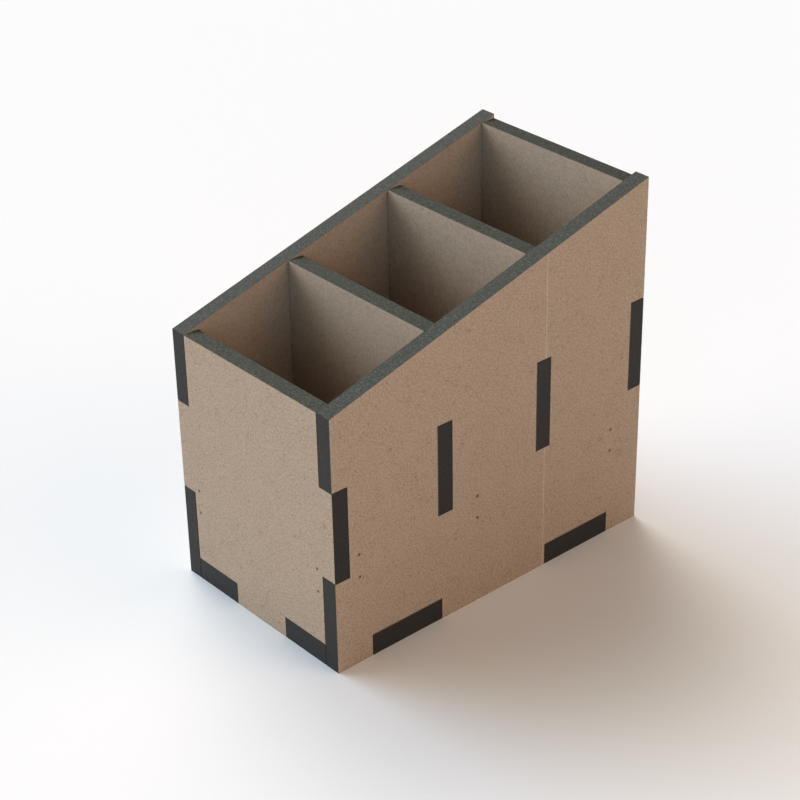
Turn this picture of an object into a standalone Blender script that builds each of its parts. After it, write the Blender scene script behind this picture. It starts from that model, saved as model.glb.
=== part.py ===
"""Paint rack organizer: a small open-topped rack of laser-cut board, glued together.

Seven flat panels make it: a base, two long side panels with a sloping top, a low front
panel, a tall back panel and two dividers, which leave three equal compartments in a row.
The front, the back and the dividers each reach through both sides with one tab, the base
reaches through each side with two, and the front and the back drop one foot each into a
notch in the base.  Nothing moves.

Frame: metres, +Z up, origin on the ground under the middle of the rack.  The low front
faces -Y, the tall back +Y, and the long sides -X and +X.
"""
import bpy
from mathutils import Matrix, Vector

# ---------------------------------------------------------------- driving dimensions
LENGTH = 0.138           # front face to back face, along Y
WIDTH = 0.080            # across both side panels, along X
FRONT_HEIGHT = 0.095     # top of the side panels at the front face
BACK_HEIGHT = 0.1325     # top of the side panels at the back face
BOARD = 0.006            # thickness of the upright panels
BASE_BOARD = 0.008       # thickness of the base panel
COMPARTMENTS = 3         # equal spaces between the front and the back

TAB_HEIGHT = 0.0335      # height of the tab that a cross panel puts through a side
TAB_LEVEL = 0.543        # middle of that tab, as a share of its panel's top height
BASE_TAB_START = 0.024   # base tabs run from here to BASE_TAB_END, either way from the middle
BASE_TAB_END = 0.054
FOOT_HALF_WIDTH = 0.013  # half the width of the front and back panels' feet

FIT = 0.0002             # gap left all round every glued joint

# Faces of the board and its scorched edges are finished elsewhere; these are plain tones.
BOARD_TONES = {
    "base_panel": (0.262, 0.205, 0.153),
    "left_side_panel": (0.300, 0.231, 0.171),
    "right_side_panel": (0.300, 0.231, 0.171),
    "front_panel": (0.325, 0.258, 0.194),
    "back_panel": (0.288, 0.226, 0.170),
    "front_divider": (0.281, 0.219, 0.165),
    "rear_divider": (0.281, 0.219, 0.165),
}
BOARD_ROUGHNESS = 0.72

# ---------------------------------------------------------------- derived sizes
HALF_LENGTH = LENGTH / 2
HALF_WIDTH = WIDTH / 2
INNER_HALF_WIDTH = HALF_WIDTH - BOARD                   # inner face of a side panel
PANEL_HALF_WIDTH = INNER_HALF_WIDTH - FIT               # end of a panel between the sides
COMPARTMENT = (LENGTH - (COMPARTMENTS + 1) * BOARD) / COMPARTMENTS
PITCH = COMPARTMENT + BOARD                             # from one cross panel to the next

CROSS_PANELS = ["front_panel", "front_divider", "rear_divider", "back_panel"]
FOOTED_PANELS = ["front_panel", "back_panel"]

# Axes of a panel's drawing: (drawing x, drawing y, thickness), as world directions.
STANDING_ALONG = Matrix(((0, 0, 1), (1, 0, 0), (0, 1, 0)))    # drawn in Y and Z
STANDING_ACROSS = Matrix(((1, 0, 0), (0, 0, -1), (0, 1, 0)))  # drawn in X and Z
LYING = Matrix.Identity(3)                                    # drawn in X and Y


def top_height(y):
    """Height of the sloping top edge of the side panels at a place along Y."""
    rise = BACK_HEIGHT - FRONT_HEIGHT
    return FRONT_HEIGHT + rise * (y + HALF_LENGTH) / LENGTH


def front_of(name):
    """Y of the front face of a cross panel."""
    return -HALF_LENGTH + CROSS_PANELS.index(name) * PITCH


def tab_span(name):
    """Lowest and highest point of a cross panel's tabs."""
    middle = TAB_LEVEL * top_height(front_of(name))
    return middle - TAB_HEIGHT / 2, middle + TAB_HEIGHT / 2


# ---------------------------------------------------------------- building blocks
def start_empty():
    """Remove every object and give the rack its own collection."""
    for old in list(bpy.data.objects):
        bpy.data.objects.remove(old, do_unlink=True)
    rack = bpy.data.collections.new("paint_rack_organizer")
    bpy.context.scene.collection.children.link(rack)
    return rack


def board_material(name):
    """Plain fibreboard in the tone of one panel."""
    material = bpy.data.materials.new(name + "_board")
    material.use_nodes = True
    shader = material.node_tree.nodes["Principled BSDF"]
    shader.inputs["Base Color"].default_value = (*BOARD_TONES[name], 1.0)
    shader.inputs["Roughness"].default_value = BOARD_ROUGHNESS
    shader.inputs["Metallic"].default_value = 0.0
    return material


def add_loop(curve, points):
    """Add one closed straight-sided loop to a flat curve."""
    spline = curve.splines.new("POLY")
    spline.points.add(len(points) - 1)
    for target, (x, y) in zip(spline.points, points):
        target.co = (x, y, 0.0, 1.0)
    spline.use_cyclic_u = True


def cut_panel(rack, name, loops, thickness, axes, centre):
    """Cut one panel from board: an outline, its holes, a thickness and a place."""
    curve = bpy.data.curves.new(name, "CURVE")
    curve.dimensions = "2D"
    curve.fill_mode = "BOTH"
    curve.extrude = thickness / 2
    for points in loops:
        add_loop(curve, points)
    curve.materials.append(board_material(name))
    panel = bpy.data.objects.new(name, curve)
    panel.matrix_world = Matrix.Translation(centre) @ axes.to_4x4()
    rack.objects.link(panel)
    return panel


def rectangle(left, right, bottom, top):
    """Corners of an upright rectangle, anticlockwise."""
    return [(left, bottom), (right, bottom), (right, top), (left, top)]


def mirrored(points):
    """The outline of a half, given from bottom to top, with its mirror image."""
    return points + [(-x, y) for x, y in reversed(points)]


# ---------------------------------------------------------------- panels
def side_outline():
    """A side panel in Y and Z: notched below, in front and behind, sloping on top."""
    notch_top = BASE_BOARD + FIT
    bottom = []
    for start, end in ((-BASE_TAB_END, -BASE_TAB_START), (BASE_TAB_START, BASE_TAB_END)):
        bottom += [(start - FIT, 0.0), (start - FIT, notch_top)]
        bottom += [(end + FIT, notch_top), (end + FIT, 0.0)]
    back_low, back_high = tab_span("back_panel")
    back_floor = HALF_LENGTH - BOARD - FIT
    back = [(HALF_LENGTH, back_low - FIT), (back_floor, back_low - FIT)]
    back += [(back_floor, back_high + FIT), (HALF_LENGTH, back_high + FIT)]
    front_low, front_high = tab_span("front_panel")
    front = [(-HALF_LENGTH, front_high + FIT), (-back_floor, front_high + FIT)]
    front += [(-back_floor, front_low - FIT), (-HALF_LENGTH, front_low - FIT)]
    slope = [(HALF_LENGTH, BACK_HEIGHT), (-HALF_LENGTH, FRONT_HEIGHT)]
    return [(-HALF_LENGTH, 0.0)] + bottom + [(HALF_LENGTH, 0.0)] + back + slope + front


def divider_slot(name):
    """The closed slot in a side panel that one divider's tab goes through."""
    low, high = tab_span(name)
    start = front_of(name) - FIT
    return rectangle(start, start + BOARD + 2 * FIT, low - FIT, high + FIT)


def cross_outline(name):
    """A panel across the rack, in X and Z, with a tab at each end and perhaps a foot."""
    resting = BASE_BOARD + FIT
    low, high = tab_span(name)
    half = []
    if name in FOOTED_PANELS:
        half += [(FOOT_HALF_WIDTH, 0.0), (FOOT_HALF_WIDTH, resting)]
    half += [(PANEL_HALF_WIDTH, resting), (PANEL_HALF_WIDTH, low), (HALF_WIDTH, low)]
    half += [(HALF_WIDTH, high), (PANEL_HALF_WIDTH, high)]
    half += [(PANEL_HALF_WIDTH, top_height(front_of(name)))]
    return mirrored(half)


def base_outline():
    """The base in X and Y: two tabs a side, and a notch in front and behind for a foot."""
    notch_side = FOOT_HALF_WIDTH + FIT
    notch_floor = HALF_LENGTH - BOARD - FIT
    half = [(notch_side, -notch_floor), (notch_side, -HALF_LENGTH)]
    half += [(PANEL_HALF_WIDTH, -HALF_LENGTH)]
    for start, end in ((-BASE_TAB_END, -BASE_TAB_START), (BASE_TAB_START, BASE_TAB_END)):
        half += [(PANEL_HALF_WIDTH, start), (HALF_WIDTH, start)]
        half += [(HALF_WIDTH, end), (PANEL_HALF_WIDTH, end)]
    half += [(PANEL_HALF_WIDTH, HALF_LENGTH), (notch_side, HALF_LENGTH)]
    half += [(notch_side, notch_floor)]
    return mirrored(half)


def build_rack():
    """Make the seven panels where they stand when the rack is glued up."""
    rack = start_empty()
    cut_panel(rack, "base_panel", [base_outline()], BASE_BOARD, LYING,
              Vector((0.0, 0.0, BASE_BOARD / 2)))
    side_loops = [side_outline(), divider_slot("front_divider"), divider_slot("rear_divider")]
    side_x = HALF_WIDTH - BOARD / 2
    cut_panel(rack, "left_side_panel", side_loops, BOARD, STANDING_ALONG,
              Vector((-side_x, 0.0, 0.0)))
    cut_panel(rack, "right_side_panel", side_loops, BOARD, STANDING_ALONG,
              Vector((side_x, 0.0, 0.0)))
    for name in CROSS_PANELS:
        cut_panel(rack, name, [cross_outline(name)], BOARD, STANDING_ACROSS,
                  Vector((0.0, front_of(name) + BOARD / 2, 0.0)))


build_rack()
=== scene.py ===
"""Looks of the paint rack organizer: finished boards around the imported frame, floor, light, camera.

Each of the rack's seven boards is finished from its own CAD solid: the faces are raw
fibreboard, the edges are scorched by the laser, and every corner is very slightly broken.
"""
import math

import bmesh
import bpy
from mathutils import Matrix, Vector


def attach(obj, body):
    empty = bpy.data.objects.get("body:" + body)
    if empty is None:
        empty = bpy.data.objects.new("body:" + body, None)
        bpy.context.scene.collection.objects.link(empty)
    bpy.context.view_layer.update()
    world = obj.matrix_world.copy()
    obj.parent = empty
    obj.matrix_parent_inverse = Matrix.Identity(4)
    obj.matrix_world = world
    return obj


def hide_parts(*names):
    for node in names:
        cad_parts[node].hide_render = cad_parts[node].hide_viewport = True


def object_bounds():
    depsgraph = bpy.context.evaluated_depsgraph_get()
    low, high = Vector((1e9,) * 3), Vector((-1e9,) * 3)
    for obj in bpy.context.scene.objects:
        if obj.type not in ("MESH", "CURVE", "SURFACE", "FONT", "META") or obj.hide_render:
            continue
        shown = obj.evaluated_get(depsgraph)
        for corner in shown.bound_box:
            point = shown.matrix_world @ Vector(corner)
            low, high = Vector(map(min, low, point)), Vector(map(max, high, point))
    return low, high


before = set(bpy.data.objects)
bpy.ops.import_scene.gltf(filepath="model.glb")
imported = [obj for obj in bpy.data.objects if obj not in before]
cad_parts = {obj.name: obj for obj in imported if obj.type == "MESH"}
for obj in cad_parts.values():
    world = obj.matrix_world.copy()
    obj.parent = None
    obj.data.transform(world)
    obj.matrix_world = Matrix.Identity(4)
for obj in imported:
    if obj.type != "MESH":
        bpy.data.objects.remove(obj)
cad_low, cad_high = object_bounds()

MM = 0.001

# ---------------------------------------------------------------- camera
VIEW_AZIMUTH = 49.384            # degrees round from looking along +Y
VIEW_ELEVATION = 29.953          # degrees above the horizon
VIEW_ROLL = -1.125               # degrees
VIEW_DISTANCE = 0.7407           # metres from the point aimed at
VIEW_AIM = Vector((-0.0071, -0.0002, 0.0551))
LENS = 97.36                     # millimetres on a 36 mm sensor
SENSOR = 36.0
NEAR_CLIP = 0.01
FAR_CLIP = 50.0

# ---------------------------------------------------------------- boards
CORNER_BREAK = 0.08 * MM         # width of the broken corner along every cut
SCORCH_WIDTH = 0.20 * MM         # how far the laser's browning reaches in from a cut
WELD = 0.001 * MM                # vertices this near are one
FLAT_ANGLE = math.radians(1)     # faces that turn less than this are one flat face
SHARP_ANGLE = math.radians(10)   # edges that turn more than this are broken
LEVEL_COSINE = 0.999             # a face this square to the board's thin axis is a board face
BREAK_COSINE = 0.5               # a broken corner this near to the board face belongs to it
FACE_SLOT = 0
EDGE_SLOT = 1
THIN_AXIS = {"base_panel": 2, "left_side_panel": 0, "right_side_panel": 0,
             "front_panel": 1, "front_divider": 1, "rear_divider": 1, "back_panel": 1}

# ---------------------------------------------------------------- board faces
BOARD_DARK = (0.300, 0.217, 0.154)
BOARD_LIGHT = (0.455, 0.336, 0.246)
INNER_SHADE_DARK = (0.339, 0.260, 0.198)       # the sides that look into the rack: a greyer, lighter copy, painted shade colour
INNER_SHADE_LIGHT = (0.432, 0.335, 0.258)
FIBRE_BROWN = (0.210, 0.140, 0.092)
SPECK_BROWN = (0.105, 0.068, 0.044)
CHIP_PALE = (0.600, 0.450, 0.330)
LINE_PALE = (0.560, 0.460, 0.400)
SCORCH_BROWN = (0.075, 0.045, 0.028)

# Scales are in cycles per metre. A depth says how strongly a mark covers the board.
# Radii of scattered dots are solid and faded, in cells of the scatter.
MOTTLE_SCALE = 1450.0
MOTTLE_ROUGHNESS = 0.55
CLOUD_SCALE = 120.0
CLOUD_SHARE = 0.08               # share of the tone that the broad clouds make
TONE_RANGE = (0.34, 0.60)        # from dark board to light board
FIBRE_SCALE = 420.0
FIBRE_WIDTH = 0.022              # in units of the noise that the fibres are drawn from
FIBRE_DEPTH = 0.70
PATCH_SCALE = 330.0
PATCH_RANGE = (0.52, 0.60)       # from no fibres to all of them
INNER_SHADE_FADING = 0.55           # share of the fibres and specks taken off inner sides, a painted effect of the shade inside the rack
SPECK_SCALE = 300.0
SPECK_RADII = (0.050, 0.120)
SPECK_DEPTH = 0.52
CHIP_SCALE = 150.0
CHIP_RADII = (0.035, 0.070)
CHIP_DEPTH = 0.45
SCORCH_POWER = 1.5
SCORCH_DEPTH = 0.25
ROUGHNESS_RANGE = (0.3, 0.7)     # mottle values between which the roughness rises
FACE_ROUGHNESS = (0.66, 0.80)
FACE_SPECULAR = 0.25
FACE_RELIEF = 0.05 * MM
FACE_RELIEF_STRENGTH = 0.5

# ---------------------------------------------------------------- marks on the faces
SIDE_MARKS_Y = (-58.8, -7.8, 54.9)       # pairs of dots on the right side, in millimetres
SIDE_MARKS_Z = (33.1, 41.6)
FRONT_MARKS_X = (-31.4, 31.2)            # pairs of dots on the front, in millimetres
FRONT_MARKS_Z = (27.8, 36.5)
MARK_RADII = (0.42 * MM, 0.72 * MM)      # solid and faded
MARK_DEPTH = 0.95
SIDE_LINE_Y = 22.9 * MM
SIDE_LINE_WIDTHS = (0.10 * MM, 0.30 * MM)
ON_SIDE = (0.2 * MM, 0.3 * MM)           # this near the right side's outer face
DIVIDER_LINE_X = -14.5 * MM
DIVIDER_LINE_WIDTHS = (0.05 * MM, 0.30 * MM)
ON_DIVIDERS = (40.0 * MM, 41.0 * MM)     # this near the middle of the rack's length
ABOVE_BASE = 9.0 * MM
DIVIDER_LINE_SHARE = 0.4                 # its strength, as a share of the side line's
LINE_DEPTH = 0.55

# ---------------------------------------------------------------- cut edges
CHAR_DARK = (0.0258, 0.0235, 0.0225)
CHAR_LIGHT = (0.0368, 0.0336, 0.0322)
CHAR_RANGE = (0.30, 0.70)                # grain values from dark to light
# painted reflection: cut edges that face upwards are coloured lighter and greener, with pale flecks,
# standing in for the light from above
UPWARD_SHEEN_DARK = (0.0180, 0.0202, 0.0145)
UPWARD_SHEEN_LIGHT = (0.0455, 0.0500, 0.0370)
UPWARD_SHEEN_RANGE = (0.32, 0.66)
FLECK_PALE = (0.170, 0.185, 0.170)
FLECK_SCALE = 1000.0
FLECK_RADII = (0.14, 0.32)
FLECK_DEPTH = 0.42
GRAIN_SCALE = 1300.0
UPWARD_RANGE = (0.55, 0.90)              # Z of the normal, from no painted reflection to all of it
EDGE_ROUGHNESS = 0.5
EDGE_SPECULAR = 0.12
EDGE_RELIEF = 0.10 * MM
EDGE_RELIEF_STRENGTH = 0.6

# ---------------------------------------------------------------- studio
FLOOR_SIZE = 12.0
PAPER_WHITE = (0.94, 0.94, 0.94, 1.0)
PAPER_ROUGHNESS = 0.9
PAPER_SPECULAR = 0.1
ROOM_WHITE = (0.98, 0.97, 0.97)
# azimuth and elevation in degrees, tightness, colour and strength
STUDIO_GLOWS = (
    (248.0, 43.0, 20.0, (6.60, 6.10, 5.50)),      # the key, high on the left and behind
    (285.0, 20.0, 12.0, (3.40, 4.93, 6.85)),      # a cool source, lower on the left
    (315.0, 20.0, 12.0, (3.07, 2.74, 2.16)),      # front fill
    (45.0, 10.0, 12.0, (1.25, 1.72, 1.95)),       # weak cool fill from the camera's side
    (120.0, 30.0, 12.0, (2.75, 1.94, 1.40)),      # warm fill, right and behind
)


# ================================================================ shader helpers
def new_material(name):
    """A material with a Principled shader and an output; returns it, its tree and its shader."""
    material = bpy.data.materials.new(name)
    material.use_nodes = True
    shader = material.node_tree.nodes["Principled BSDF"]
    return material, material.node_tree, shader


def add_node(tree, kind, **settings):
    """A new shader node with its properties set."""
    node = tree.nodes.new(kind)
    for key, value in settings.items():
        setattr(node, key, value)
    return node


def noise(tree, place, scale, detail=2.0, roughness=0.5, distortion=0.0):
    """Noise over the object's own coordinates; scale is in cycles per metre."""
    node = add_node(tree, "ShaderNodeTexNoise")
    node.inputs["Scale"].default_value = scale
    node.inputs["Detail"].default_value = detail
    node.inputs["Roughness"].default_value = roughness
    node.inputs["Distortion"].default_value = distortion
    tree.links.new(place, node.inputs["Vector"])
    return node.outputs["Fac"]


def ramp(tree, value, stops):
    """Map a value through colour stops, given as (position, grey level or colour)."""
    node = add_node(tree, "ShaderNodeValToRGB")
    elements = node.color_ramp.elements
    while len(elements) > 1:
        elements.remove(elements[-1])
    for index, (position, colour) in enumerate(stops):
        element = elements[0] if index == 0 else elements.new(position)
        element.position = position
        grey = isinstance(colour, (int, float))
        element.color = (colour, colour, colour, 1.0) if grey else (*colour, 1.0)
    tree.links.new(value, node.inputs["Fac"])
    return node.outputs["Color"]


def mix(tree, factor, first, second):
    """Blend two colours; each is a socket or a colour, and the factor is a socket."""
    node = add_node(tree, "ShaderNodeMix", data_type="RGBA")
    tree.links.new(factor, node.inputs[0])
    colour_sockets = [s for s in node.inputs if s.type == "RGBA"]
    for socket, value in zip(colour_sockets, (first, second)):
        if isinstance(value, bpy.types.NodeSocket):
            tree.links.new(value, socket)
        else:
            socket.default_value = (*value, 1.0)
    return next(s for s in node.outputs if s.type == "RGBA")


def math_node(tree, operation, first, second=0.0):
    """One arithmetic step on sockets or numbers."""
    node = add_node(tree, "ShaderNodeMath", operation=operation)
    for socket, value in zip(node.inputs, (first, second)):
        if isinstance(value, bpy.types.NodeSocket):
            tree.links.new(value, socket)
        else:
            socket.default_value = value
    return node.outputs[0]


def cover(tree, under, amount, depth, colour):
    """Cover a colour with another where amount says, as strongly as depth says."""
    return mix(tree, math_node(tree, "MULTIPLY", amount, depth), under, colour)


def between(tree, value, limits, first, second):
    """Map a value from one colour or grey at the first limit to another at the second."""
    return ramp(tree, value, list(zip(limits, (first, second))))


def scattered_dots(tree, place, scale, radii):
    """Small dots round scattered points; the solid and faded radii are in cells."""
    cells = add_node(tree, "ShaderNodeTexVoronoi")
    cells.inputs["Scale"].default_value = scale
    tree.links.new(place, cells.inputs["Vector"])
    return between(tree, cells.outputs["Distance"], radii, 1.0, 0.0)


def step_down(tree, value, limits):
    """1 where a value is under the first limit, falling to 0 at the second."""
    node = add_node(tree, "ShaderNodeMapRange")
    solid, fade = limits
    settings = (("From Min", solid), ("From Max", fade), ("To Min", 1.0), ("To Max", 0.0))
    for key, number in settings:
        node.inputs[key].default_value = number
    tree.links.new(value, node.inputs["Value"])
    return node.outputs["Result"]


def off_plane(tree, value, level):
    """How far a coordinate is from a level."""
    return math_node(tree, "ABSOLUTE", math_node(tree, "SUBTRACT", value, level))


def bump(tree, height, distance, strength):
    """A bump from a height; distance is in metres."""
    node = add_node(tree, "ShaderNodeBump")
    node.inputs["Strength"].default_value = strength
    node.inputs["Distance"].default_value = distance
    tree.links.new(height, node.inputs["Height"])
    return node.outputs["Normal"]


# ================================================================ materials
def pin_marks(tree, place):
    """Pairs of tiny dark dots, one above the other, on the right side and the front."""
    spots = [(cad_high.x, y * MM, z * MM) for y in SIDE_MARKS_Y for z in SIDE_MARKS_Z]
    spots += [(x * MM, cad_low.y, z * MM) for x in FRONT_MARKS_X for z in FRONT_MARKS_Z]
    total = 0.0
    for spot in spots:
        gap = add_node(tree, "ShaderNodeVectorMath", operation="DISTANCE")
        gap.inputs[1].default_value = spot
        tree.links.new(place, gap.inputs[0])
        dot = step_down(tree, gap.outputs["Value"], MARK_RADII)
        total = math_node(tree, "MAXIMUM", dot, total)
    return total


def seam_lines(tree, place):
    """Faint pale lines drawn down the right side and down the dividers."""
    split = add_node(tree, "ShaderNodeSeparateXYZ")
    tree.links.new(place, split.inputs["Vector"])
    x, y, z = split.outputs["X"], split.outputs["Y"], split.outputs["Z"]
    side = step_down(tree, off_plane(tree, y, SIDE_LINE_Y), SIDE_LINE_WIDTHS)
    on_side = step_down(tree, off_plane(tree, x, cad_high.x), ON_SIDE)
    inner = step_down(tree, off_plane(tree, x, DIVIDER_LINE_X), DIVIDER_LINE_WIDTHS)
    on_dividers = step_down(tree, off_plane(tree, y, 0.0), ON_DIVIDERS)
    above_base = math_node(tree, "GREATER_THAN", z, ABOVE_BASE)
    on_dividers = math_node(tree, "MULTIPLY", on_dividers, above_base)
    strength = math_node(tree, "MULTIPLY", on_dividers, DIVIDER_LINE_SHARE)
    inner = math_node(tree, "MULTIPLY", inner, strength)
    return math_node(tree, "MAXIMUM", math_node(tree, "MULTIPLY", side, on_side), inner)


def board_tone(tree, place, mottle, inner):
    """The board's colour: a fine mottle and faint clouds; inner sides take a greyer, lighter copy, a
    painted shade colour for the inside of the rack.
    """
    clouds = noise(tree, place, CLOUD_SCALE)
    tone = math_node(tree, "ADD", math_node(tree, "MULTIPLY", mottle, 1.0 - CLOUD_SHARE),
                     math_node(tree, "MULTIPLY", clouds, CLOUD_SHARE))
    outer_colour = between(tree, tone, TONE_RANGE, BOARD_DARK, BOARD_LIGHT)
    # painted shade: inner sides take a greyer, lighter copy that stands in for the colour of the
    # shade inside the rack
    inner_shade_colour = between(tree, tone, TONE_RANGE, INNER_SHADE_DARK, INNER_SHADE_LIGHT)
    return mix(tree, inner, outer_colour, inner_shade_colour)


def short_fibres(tree, place):
    """Short curved fibres: level lines of one noise, kept only in patches of another."""
    level = noise(tree, place, FIBRE_SCALE, detail=1.0, distortion=1.0)
    fibres = step_down(tree, off_plane(tree, level, 0.5), (0.0, FIBRE_WIDTH))
    patches = noise(tree, place, PATCH_SCALE, detail=0.0)
    return math_node(tree, "MULTIPLY", fibres, between(tree, patches, PATCH_RANGE, 0.0, 1.0))


def board_face():
    """Raw fibreboard: fine mottle, short fibres, specks, chips, marks, browned beside a cut."""
    material, tree, shader = new_material("fibreboard_face")
    place = add_node(tree, "ShaderNodeTexCoord").outputs["Object"]
    inner = add_node(tree, "ShaderNodeAttribute", attribute_name="inner").outputs["Fac"]
    scorch = add_node(tree, "ShaderNodeAttribute", attribute_name="scorch").outputs["Fac"]
    mottle = noise(tree, place, MOTTLE_SCALE, roughness=MOTTLE_ROUGHNESS)
    colour = board_tone(tree, place, mottle, inner)
    # painted shade: inner sides show fewer fibres and specks, as if washed out by the shade inside
    # the rack
    faded_in_shade = math_node(tree, "MULTIPLY", inner, INNER_SHADE_FADING)
    shown = math_node(tree, "SUBTRACT", 1.0, faded_in_shade)
    fibres = math_node(tree, "MULTIPLY", short_fibres(tree, place), shown)
    colour = cover(tree, colour, fibres, FIBRE_DEPTH, FIBRE_BROWN)
    specks = scattered_dots(tree, place, SPECK_SCALE, SPECK_RADII)
    specks = math_node(tree, "MULTIPLY", specks, shown)
    colour = cover(tree, colour, specks, SPECK_DEPTH, SPECK_BROWN)
    chips = scattered_dots(tree, place, CHIP_SCALE, CHIP_RADII)
    colour = cover(tree, colour, chips, CHIP_DEPTH, CHIP_PALE)
    colour = cover(tree, colour, seam_lines(tree, place), LINE_DEPTH, LINE_PALE)
    colour = cover(tree, colour, pin_marks(tree, place), MARK_DEPTH, SPECK_BROWN)
    scorch = math_node(tree, "POWER", scorch, SCORCH_POWER)
    colour = cover(tree, colour, scorch, SCORCH_DEPTH, SCORCH_BROWN)
    tree.links.new(colour, shader.inputs["Base Color"])
    roughness = between(tree, mottle, ROUGHNESS_RANGE, *FACE_ROUGHNESS)
    tree.links.new(roughness, shader.inputs["Roughness"])
    shader.inputs["Specular IOR Level"].default_value = FACE_SPECULAR
    relief = bump(tree, mottle, FACE_RELIEF, FACE_RELIEF_STRENGTH)
    tree.links.new(relief, shader.inputs["Normal"])
    return material


def scorched_edge():
    """A laser-cut edge: smooth dark char, painted lighter and greener with pale flecks where it faces
    upwards, as a painted reflection of the light from above.
    """
    material, tree, shader = new_material("scorched_edge")
    place = add_node(tree, "ShaderNodeTexCoord").outputs["Object"]
    grain = noise(tree, place, GRAIN_SCALE, detail=1.0)
    char = between(tree, grain, CHAR_RANGE, CHAR_DARK, CHAR_LIGHT)
    # painted reflection: the lighter, greener colour that upward-facing edges take
    upward_sheen = between(tree, grain, UPWARD_SHEEN_RANGE, UPWARD_SHEEN_DARK, UPWARD_SHEEN_LIGHT)
    flecks = scattered_dots(tree, place, FLECK_SCALE, FLECK_RADII)
    upward_sheen = cover(tree, upward_sheen, flecks, FLECK_DEPTH, FLECK_PALE)
    normal = add_node(tree, "ShaderNodeNewGeometry").outputs["Normal"]
    split = add_node(tree, "ShaderNodeSeparateXYZ")
    tree.links.new(normal, split.inputs["Vector"])
    upward = between(tree, split.outputs["Z"], UPWARD_RANGE, 0.0, 1.0)
    tree.links.new(mix(tree, upward, char, upward_sheen), shader.inputs["Base Color"])
    shader.inputs["Roughness"].default_value = EDGE_ROUGHNESS
    shader.inputs["Specular IOR Level"].default_value = EDGE_SPECULAR
    relief = bump(tree, grain, EDGE_RELIEF, EDGE_RELIEF_STRENGTH)
    tree.links.new(relief, shader.inputs["Normal"])
    return material


def floor_paper():
    """Plain white studio paper."""
    material, _, shader = new_material("studio_paper")
    shader.inputs["Base Color"].default_value = PAPER_WHITE
    shader.inputs["Roughness"].default_value = PAPER_ROUGHNESS
    shader.inputs["Specular IOR Level"].default_value = PAPER_SPECULAR
    return material


# ================================================================ boards
def looks_inward(face, axis):
    """Whether a face of a board looks into the rack rather than out of it."""
    ahead = face.calc_center_median()[axis] + face.normal[axis] * MM
    return cad_low[axis] < ahead < cad_high[axis]


def at_end(face):
    """Whether a face lies in the scorched rim at the front or back end of the rack."""
    y = face.calc_center_median().y
    return min(y - cad_low.y, cad_high.y - y) < CORNER_BREAK + SCORCH_WIDTH


def break_corners(work):
    """Join the CAD triangles into flat faces, then break every corner between them."""
    bmesh.ops.remove_doubles(work, verts=work.verts, dist=WELD)
    bmesh.ops.dissolve_limit(work, angle_limit=FLAT_ANGLE, verts=work.verts, edges=work.edges)
    corners = [e for e in work.edges if e.calc_face_angle(0.0) > SHARP_ANGLE]
    bmesh.ops.bevel(work, geom=corners, offset=CORNER_BREAK, offset_type="OFFSET", segments=2,
                    profile=0.5, affect="EDGES", clamp_overlap=True)
    work.normal_update()


def mark_scorch(work, axis):
    """Cut a narrow rim round each board face, and mark as scorched all but what it rings."""
    broad = [f for f in work.faces if abs(f.normal[axis]) > LEVEL_COSINE]
    bmesh.ops.inset_region(work, faces=broad, thickness=SCORCH_WIDTH, use_even_offset=True,
                           use_boundary=True)
    scorch = work.verts.layers.float.new("scorch")
    for vert in work.verts:
        vert[scorch] = 1.0
    for face in broad:
        for vert in face.verts:
            vert[scorch] = 0.0


def mark_faces(work, axis):
    """Give every face its material, and mark the faces that look into the rack."""
    inner = work.faces.layers.float.new("inner")
    for face in work.faces:
        face.smooth = False
        inward = looks_inward(face, axis)
        board_side = abs(face.normal[axis]) > BREAK_COSINE
        # an inner side is charred where it shows down the joint at the end of the rack
        charred = not board_side or (inward and at_end(face))
        face.material_index = EDGE_SLOT if charred else FACE_SLOT
        face[inner] = 1.0 if inward else 0.0


def finish_board(name, face_material, edge_material):
    """Make the finished board that stands for one CAD panel."""
    axis = THIN_AXIS[name]
    work = bmesh.new()
    work.from_mesh(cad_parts[name].data)
    break_corners(work)
    mark_scorch(work, axis)
    mark_faces(work, axis)
    mesh = bpy.data.meshes.new(name + "_finished")
    work.to_mesh(mesh)
    work.free()
    mesh.materials.append(face_material)
    mesh.materials.append(edge_material)
    board = bpy.data.objects.new(name + "_finished", mesh)
    bpy.context.scene.collection.objects.link(board)
    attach(board, "root")
    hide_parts(name)


def finish_boards():
    """All seven boards."""
    face_material = board_face()
    edge_material = scorched_edge()
    for name in THIN_AXIS:
        finish_board(name, face_material, edge_material)


# ================================================================ studio
def build_floor():
    """A wide level floor of white paper under the rack."""
    bpy.ops.mesh.primitive_plane_add(size=FLOOR_SIZE, location=(0.0, 0.0, cad_low.z))
    floor = bpy.context.object
    floor.name = "studio_floor"
    floor.data.materials.append(floor_paper())


def direction(azimuth, elevation):
    """The unit vector towards an azimuth and elevation in degrees."""
    azimuth = math.radians(azimuth)
    elevation = math.radians(elevation)
    return Vector((math.sin(azimuth) * math.cos(elevation),
                   -math.cos(azimuth) * math.cos(elevation), math.sin(elevation)))


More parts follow.
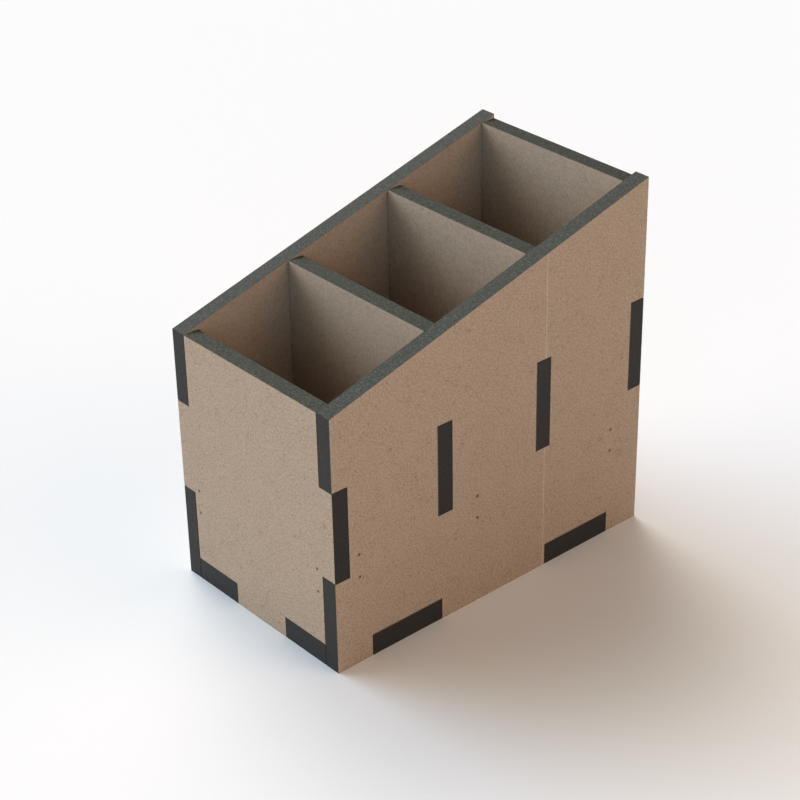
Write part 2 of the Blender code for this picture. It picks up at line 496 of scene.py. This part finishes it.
def soft_glow(tree, place, azimuth, elevation, tightness, colour):
    """Light from a large soft source far away: brightest towards one direction."""
    facing = add_node(tree, "ShaderNodeVectorMath", operation="DOT_PRODUCT")
    facing.inputs[1].default_value = direction(azimuth, elevation)
    tree.links.new(place, facing.inputs[0])
    away = math_node(tree, "SUBTRACT", facing.outputs["Value"], 1.0)
    fall = math_node(tree, "EXPONENT", math_node(tree, "MULTIPLY", away, tightness))
    glow = add_node(tree, "ShaderNodeVectorMath", operation="SCALE")
    glow.inputs[0].default_value = colour
    tree.links.new(fall, glow.inputs["Scale"])
    return glow.outputs["Vector"]


def build_lights():
    """Five big soft sources round the rack, and a plain white room for the camera to see."""
    world = bpy.data.worlds.new("studio")
    world.use_nodes = True
    tree = world.node_tree
    background = tree.nodes["Background"]
    place = add_node(tree, "ShaderNodeTexCoord").outputs["Generated"]
    total = soft_glow(tree, place, *STUDIO_GLOWS[0])
    for source in STUDIO_GLOWS[1:]:
        glow = soft_glow(tree, place, *source)
        add = add_node(tree, "ShaderNodeVectorMath", operation="ADD")
        tree.links.new(total, add.inputs[0])
        tree.links.new(glow, add.inputs[1])
        total = add.outputs["Vector"]
    seen = add_node(tree, "ShaderNodeLightPath").outputs["Is Camera Ray"]
    tree.links.new(mix(tree, seen, total, ROOM_WHITE), background.inputs["Color"])
    bpy.context.scene.world = world


def build_camera():
    """The camera, at the picture's angle."""
    back = direction(VIEW_AZIMUTH, VIEW_ELEVATION)
    data = bpy.data.cameras.new("camera")
    data.lens = LENS
    data.sensor_width = SENSOR
    data.clip_start = NEAR_CLIP
    data.clip_end = FAR_CLIP
    camera = bpy.data.objects.new("camera", data)
    level = (-back).to_track_quat("-Z", "Y").to_matrix().to_4x4()
    roll = Matrix.Rotation(math.radians(VIEW_ROLL), 4, "Z")
    camera.matrix_world = Matrix.Translation(VIEW_AIM + back * VIEW_DISTANCE) @ level @ roll
    bpy.context.scene.collection.objects.link(camera)
    bpy.context.scene.camera = camera


finish_boards()
build_floor()
build_lights()
build_camera()
bpy.context.scene.view_settings.view_transform = "Standard"
